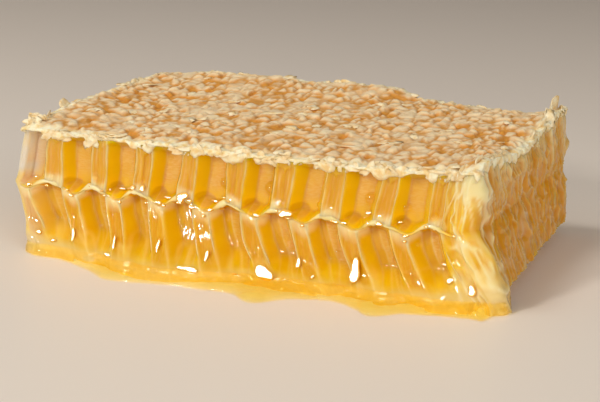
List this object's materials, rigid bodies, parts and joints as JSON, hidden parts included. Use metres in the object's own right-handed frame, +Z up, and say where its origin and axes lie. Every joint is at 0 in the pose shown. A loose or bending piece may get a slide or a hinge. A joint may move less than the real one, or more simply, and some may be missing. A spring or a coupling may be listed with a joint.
{
  "type": "honeycomb piece",
  "caption": "Flat cut slab of comb honey: two tiers of honey-filled hexagonal cells on a wax midrib, capped with wax above and below, with honey run out along its front foot.",
  "frame": {"origin": "on the floor, under the middle of the box round the whole piece", "axes": "+X along the long cut sides, +Y from the front cut with the honey foot to the back cut, +Z up through the two tiers of cells"},
  "size_m": [0.0958, 0.067, 0.0275],
  "materials": {
    "cappings": "matt, bumpy, pale cream beeswax",
    "comb_wax": "satin, translucent yellow beeswax",
    "honey": "wet gloss, clear amber honey in its cells"
  },
  "bodies": {
    "root": {"top_cappings": "cappings", "upper_honey": "honey", "wax_comb": "comb_wax", "lower_honey": "honey", "base_cappings": "cappings"}
  },
  "joints": []
}
